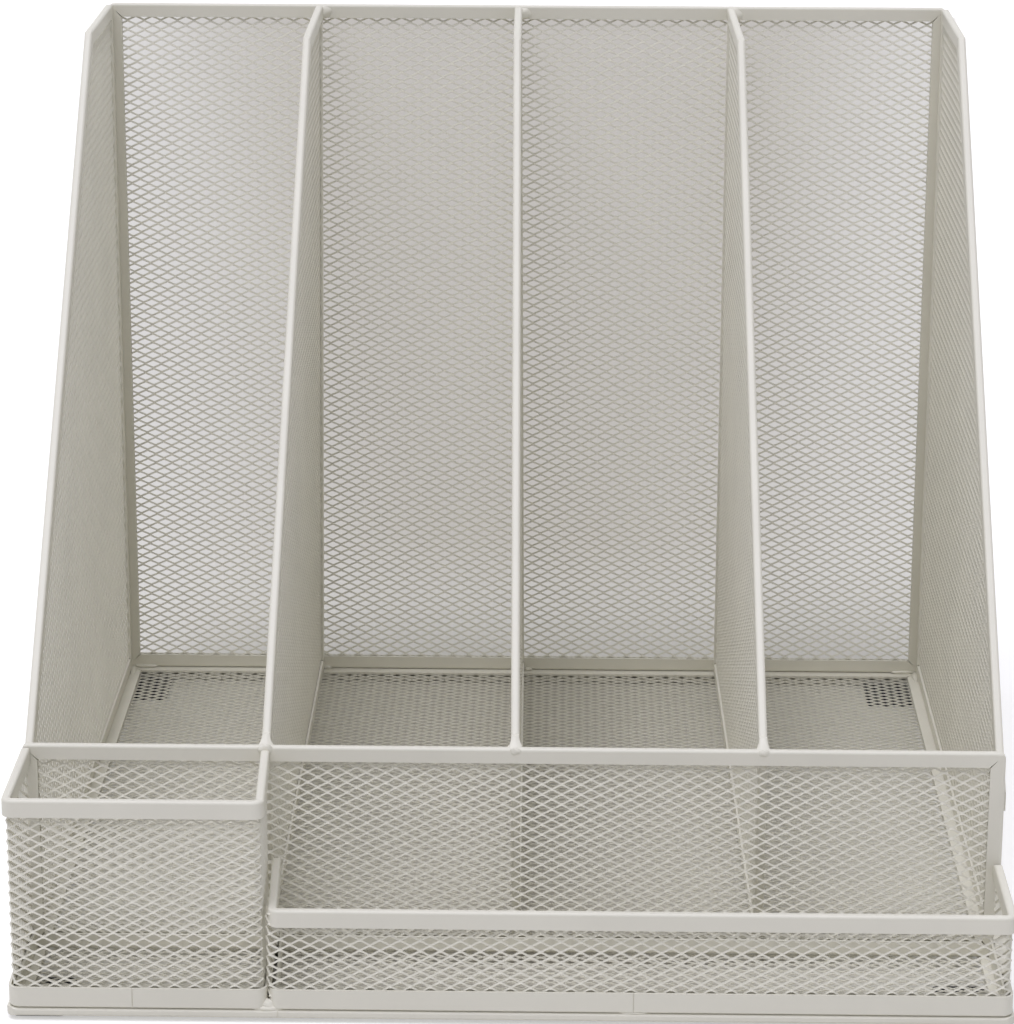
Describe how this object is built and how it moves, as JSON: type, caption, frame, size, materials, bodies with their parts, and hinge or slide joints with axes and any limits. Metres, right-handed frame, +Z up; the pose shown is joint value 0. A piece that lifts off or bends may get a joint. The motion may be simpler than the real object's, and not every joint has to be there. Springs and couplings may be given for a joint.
{
  "type": "desk file sorter",
  "caption": "Welded mesh desk sorter: tall upright file bays between sloping dividers, with an open pen cup and a low open tray across the front.",
  "frame": {"origin": "middle of the footprint, in the plane of the foot pads' undersides", "axes": "+Z up, +Y towards the tall back panel, +X to the right of someone facing the cup and tray"},
  "size_m": [0.32, 0.3226, 0.2721],
  "materials": {
    "painted_steel": "satin powder coat over steel mesh and folded strip",
    "pads": "matte foam rubber"
  },
  "bodies": {
    "root": {"back_hem": "painted_steel", "back_mesh": "painted_steel", "back_welds": "painted_steel", "base_hem": "painted_steel", "base_mesh": "painted_steel", "base_welds": "painted_steel", "cup_foot_band": "painted_steel", "cup_mesh": "painted_steel", "cup_rim": "painted_steel", "divider_1_hem": "painted_steel", "divider_1_mesh": "painted_steel", "divider_2_hem": "painted_steel", "divider_2_mesh": "painted_steel", "divider_3_hem": "painted_steel", "divider_3_mesh": "painted_steel", "foot_pad_back_left": "pads", "foot_pad_back_right": "pads", "foot_pad_front_left": "pads", "foot_pad_front_right": "pads", "front_wall_hem": "painted_steel", "front_wall_mesh": "painted_steel", "front_wall_welds": "painted_steel", "left_side_hem": "painted_steel", "left_side_mesh": "painted_steel", "right_side_hem": "painted_steel", "right_side_mesh": "painted_steel", "tray_foot_band": "painted_steel", "tray_mesh": "painted_steel", "tray_rim": "painted_steel"}
  },
  "joints": []
}
